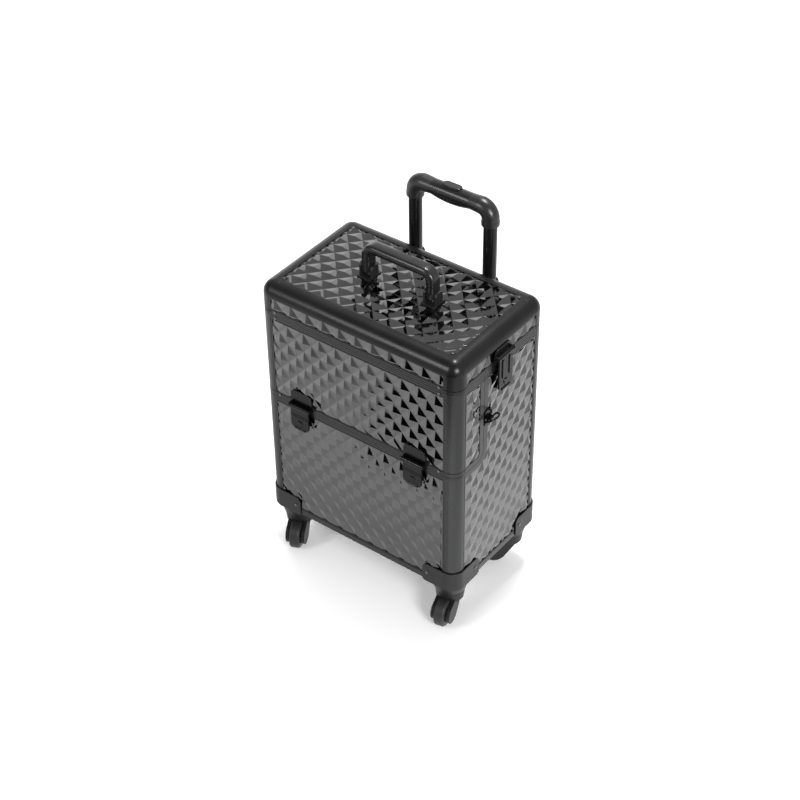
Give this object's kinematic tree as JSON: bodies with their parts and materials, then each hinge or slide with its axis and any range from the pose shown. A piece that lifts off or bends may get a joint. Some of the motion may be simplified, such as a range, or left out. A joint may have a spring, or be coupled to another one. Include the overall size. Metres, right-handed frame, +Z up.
{
  "type": "rolling makeup case",
  "caption": "Upright hard case on swivel casters, with a hinged lid, a slide-out front section with trays, lever latches, a folding carry handle and a telescopic trolley handle.",
  "frame": {"origin": "on the floor under the wheels, at the middle of the part's box", "axes": "+Z up; -Y towards the front, where the two front latches are; +X to the side with the side latch"},
  "size_m": [0.3968, 0.2717, 0.6213],
  "materials": {
    "frame": "black anodised, satin",
    "panel": "black quilted sheet, glossy",
    "board": "black, matt",
    "guard": "black, satin",
    "latch": "black, semi-gloss",
    "hinge": "black, satin",
    "tube": "black anodised, semi-gloss",
    "tray": "black, matt",
    "runner": "plain",
    "rivet": "plain",
    "grip": "black, satin",
    "wheel": "black, matt"
  },
  "bodies": {
    "case": {"bottom_board": "board", "bottom_frame": "frame", "front_lower_panel": "panel", "left_side_panel": "panel", "right_side_panel": "panel", "rear_panel": "panel", "front_lower_posts": "frame", "rear_posts": "frame", "body_rail": "frame", "body_top_rail": "frame", "corner_guards": "guard", "outer_tubes": "tube", "tube_brackets": "guard", "case_hinge_leaves": "hinge", "case_runners": "runner", "front_catches": "latch", "side_catch": "latch", "ring_plates": "latch", "case_rivets": "rivet"},
    "lid": {"lid_frame": "frame", "lid_corners": "frame", "lid_panel": "panel", "lid_bands": "panel", "lid_rail": "frame", "lid_hinge_leaves": "hinge", "hinge_pins": "hinge", "handle_brackets": "guard", "side_latch_plate": "latch", "lid_rivets": "rivet"},
    "carry_handle": {"carry_handle": "grip"},
    "side_lever": {"side_lever": "latch"},
    "front_section": {"section_panel": "panel", "left_cheek": "panel", "right_cheek": "panel", "section_posts": "frame", "section_rail": "frame", "section_top_rail": "frame", "lower_tray": "tray", "tray_runners": "runner", "front_latch_plates": "latch", "section_rivets": "rivet"},
    "left_lever": {"left_lever": "latch"},
    "right_lever": {"right_lever": "latch"},
    "upper_tray": {"upper_tray": "tray"},
    "left_strap_ring": {"left_strap_ring": "rivet"},
    "right_strap_ring": {"right_strap_ring": "rivet"},
    "middle_stage": {"middle_tubes": "tube"},
    "inner_stage": {"inner_tubes": "tube", "grip_elbows": "grip", "grip_shell": "grip"},
    "grip_button": {"grip_button": "grip"},
    "fork_fl": {"fork_fl": "guard"},
    "fork_fr": {"fork_fr": "guard"},
    "fork_rl": {"fork_rl": "guard"},
    "fork_rr": {"fork_rr": "guard"},
    "wheel_fl": {"wheel_fl": "wheel"},
    "wheel_fr": {"wheel_fr": "wheel"},
    "wheel_rl": {"wheel_rl": "wheel"},
    "wheel_rr": {"wheel_rr": "wheel"}
  },
  "joints": [
    {"name": "lid_hinge", "type": "hinge", "parent": "case", "child": "lid", "pos_m": [-0.1834, -0.00841, 0.46125], "axis": [0, -1, 0], "range_deg": [0, 105]},
    {"name": "carry_handle_pivot", "type": "hinge", "parent": "lid", "child": "carry_handle", "pos_m": [0, -0.00841, 0.5245], "axis": [1, 0, 0], "range_deg": [-90, 90]},
    {"name": "side_lever_pivot", "type": "hinge", "parent": "lid", "child": "side_lever", "pos_m": [0.186, -0.00841, 0.475], "axis": [0, -1, 0], "range_deg": [0, 100]},
    {"name": "front_section_slide", "type": "slide", "parent": "case", "child": "front_section", "axis": [0, -1, 0], "range_m": [0, 0.1]},
    {"name": "left_lever_pivot", "type": "hinge", "parent": "front_section", "child": "left_lever", "pos_m": [-0.106, -0.12441, 0.31], "axis": [-1, 0, 0], "range_deg": [0, 100]},
    {"name": "right_lever_pivot", "type": "hinge", "parent": "front_section", "child": "right_lever", "pos_m": [0.106, -0.12441, 0.31], "axis": [-1, 0, 0], "range_deg": [0, 100]},
    {"name": "upper_tray_slide", "type": "slide", "parent": "front_section", "child": "upper_tray", "axis": [0, 1, 0], "range_m": [0, 0.07]},
    {"name": "left_strap_ring_pivot", "type": "hinge", "parent": "case", "child": "left_strap_ring", "pos_m": [-0.185, -0.04091, 0.378], "axis": [0, 1, 0], "range_deg": [-120, 60]},
    {"name": "right_strap_ring_pivot", "type": "hinge", "parent": "case", "child": "right_strap_ring", "pos_m": [0.185, -0.04091, 0.378], "axis": [0, -1, 0], "range_deg": [-120, 60]},
    {"name": "middle_stage_slide", "type": "slide", "parent": "case", "child": "middle_stage", "axis": [0, 0, 1], "range_m": [0, 0.26]},
    {"name": "inner_stage_slide", "type": "slide", "parent": "middle_stage", "child": "inner_stage", "axis": [0, 0, 1], "range_m": [-0.099, 0.17]},
    {"name": "grip_button_press", "type": "slide", "parent": "inner_stage", "child": "grip_button", "axis": [0, 0, -1], "range_m": [0, 0.003], "stiffness_N_per_m": 300, "springref_m": -0.002},
    {"name": "swivel_fl", "type": "hinge", "parent": "case", "child": "fork_fl", "pos_m": [-0.1495, -0.08791, 0.062], "axis": [0, 0, 1], "continuous": true},
    {"name": "wheel_spin_fl", "type": "hinge", "parent": "fork_fl", "child": "wheel_fl", "pos_m": [-0.13936, -0.10966, 0.024], "axis": [0.9063, 0.4226, 0], "continuous": true},
    {"name": "swivel_fr", "type": "hinge", "parent": "case", "child": "fork_fr", "pos_m": [0.1495, -0.08791, 0.062], "axis": [0, 0, 1], "continuous": true},
    {"name": "wheel_spin_fr", "type": "hinge", "parent": "fork_fr", "child": "wheel_fr", "pos_m": [0.15449, -0.11139, 0.024], "axis": [0.9781, 0.2079, 0], "continuous": true},
    {"name": "swivel_rl", "type": "hinge", "parent": "case", "child": "fork_rl", "pos_m": [-0.1495, 0.07109, 0.062], "axis": [0, 0, 1], "continuous": true},
    {"name": "wheel_spin_rl", "type": "hinge", "parent": "fork_rl", "child": "wheel_rl", "pos_m": [-0.14129, 0.04853, 0.024], "axis": [0.9397, 0.342, 0], "continuous": true},
    {"name": "swivel_rr", "type": "hinge", "parent": "case", "child": "fork_rr", "pos_m": [0.1495, 0.07109, 0.062], "axis": [0, 0, 1], "continuous": true},
    {"name": "wheel_spin_rr", "type": "hinge", "parent": "fork_rr", "child": "wheel_rr", "pos_m": [0.13407, 0.0527, 0.024], "axis": [0.766, -0.6428, 0], "continuous": true}
  ]
}
